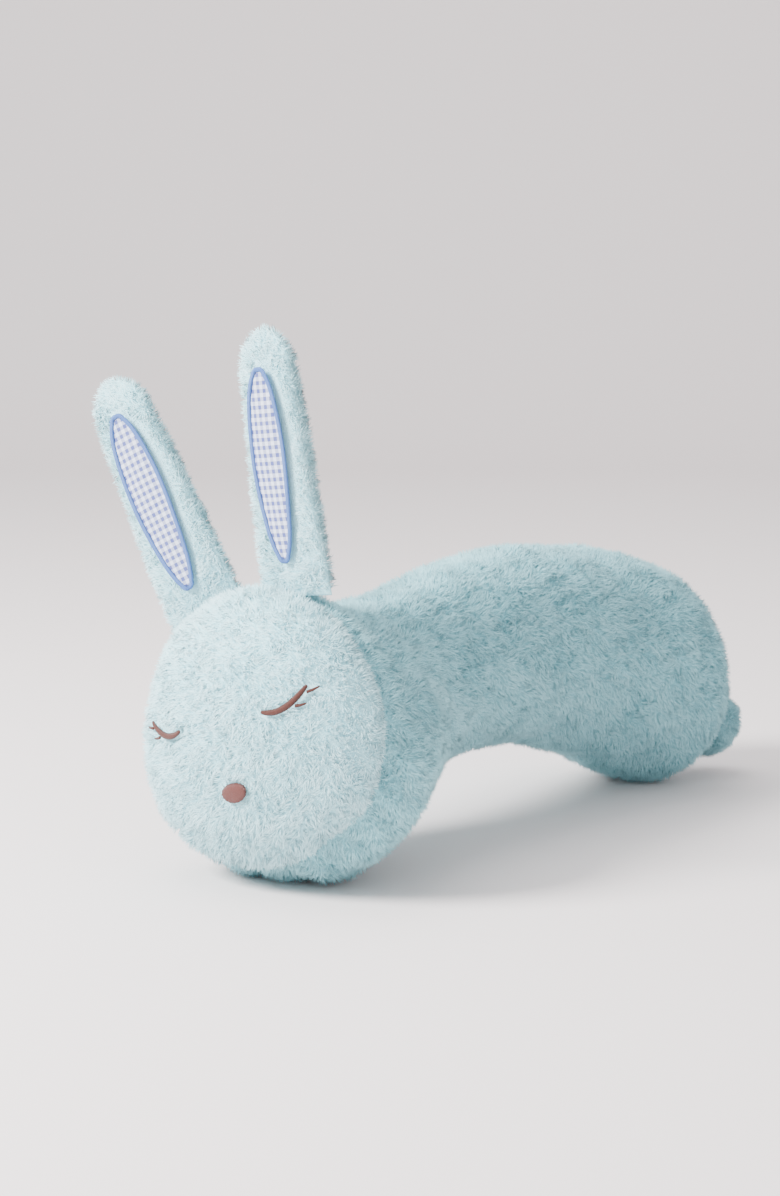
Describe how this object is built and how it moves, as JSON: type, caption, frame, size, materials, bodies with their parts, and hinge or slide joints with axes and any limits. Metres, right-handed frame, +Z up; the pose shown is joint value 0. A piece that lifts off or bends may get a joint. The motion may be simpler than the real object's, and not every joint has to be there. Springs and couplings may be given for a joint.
{
  "type": "stuffed bunny rabbit",
  "caption": "Arched plush bolster bunny that stands on its head and rump, with a domed face, closed stitched eyes, upright lined ears and a puff tail",
  "frame": {"origin": "on the floor under the middle of the whole toy as it rests", "axes": "+Z up, the toy lies along Y with its face toward -Y and its tail toward +Y, its own left side toward +X; it rests rolled 16.5 degrees toward its right side"},
  "size_m": [0.2696, 0.572, 0.3744],
  "materials": {
    "plush": "soft short pile",
    "pale_plush": "soft short pile",
    "gingham": "woven check",
    "blue_stitching": "satin thread",
    "brown_stitching": "satin thread",
    "filling": "loose polyester fibre",
    "thread": "matt thread"
  },
  "bodies": {
    "body": {"back_seam_thread": "thread", "belly_closing_thread": "thread", "belly_seam_thread": "thread", "body_cover_left": "plush", "body_cover_right": "plush", "body_stuffing": "filling", "eye_left": "brown_stitching", "eye_left_lash_lower": "brown_stitching", "eye_left_lash_upper": "brown_stitching", "eye_right": "brown_stitching", "eye_right_lash_lower": "brown_stitching", "eye_right_lash_upper": "brown_stitching", "face_cover": "pale_plush", "face_seam_thread": "thread", "nose": "brown_stitching"},
    "ear_left": {"ear_left_back": "plush", "ear_left_front": "pale_plush", "ear_left_patch": "gingham", "ear_left_patch_border": "blue_stitching", "ear_left_seam_thread": "thread", "ear_left_wadding": "filling"},
    "ear_right": {"ear_right_back": "plush", "ear_right_front": "pale_plush", "ear_right_patch": "gingham", "ear_right_patch_border": "blue_stitching", "ear_right_seam_thread": "thread", "ear_right_wadding": "filling"},
    "tail": {"tail_cover": "plush", "tail_gather_thread": "thread", "tail_stuffing": "filling"}
  },
  "joints": [
    {"name": "ear_left_bend", "type": "hinge", "parent": "body", "child": "ear_left", "pos_m": [0.03585, -0.2221, 0.20773], "axis": [0.9889, -0.1043, 0.1062], "range_deg": [-70, 20], "stiffness_Nm_per_rad": 0.12},
    {"name": "ear_right_bend", "type": "hinge", "parent": "body", "child": "ear_right", "pos_m": [-0.04544, -0.2221, 0.18366], "axis": [0.8872, 0.1043, 0.4495], "range_deg": [-70, 20], "stiffness_Nm_per_rad": 0.12},
    {"name": "tail_bend", "type": "hinge", "parent": "body", "child": "tail", "pos_m": [0.06004, 0.25395, 0.04233], "axis": [0.8039, 0, 0.5948], "range_deg": [-10, 10], "stiffness_Nm_per_rad": 0.03}
  ]
}
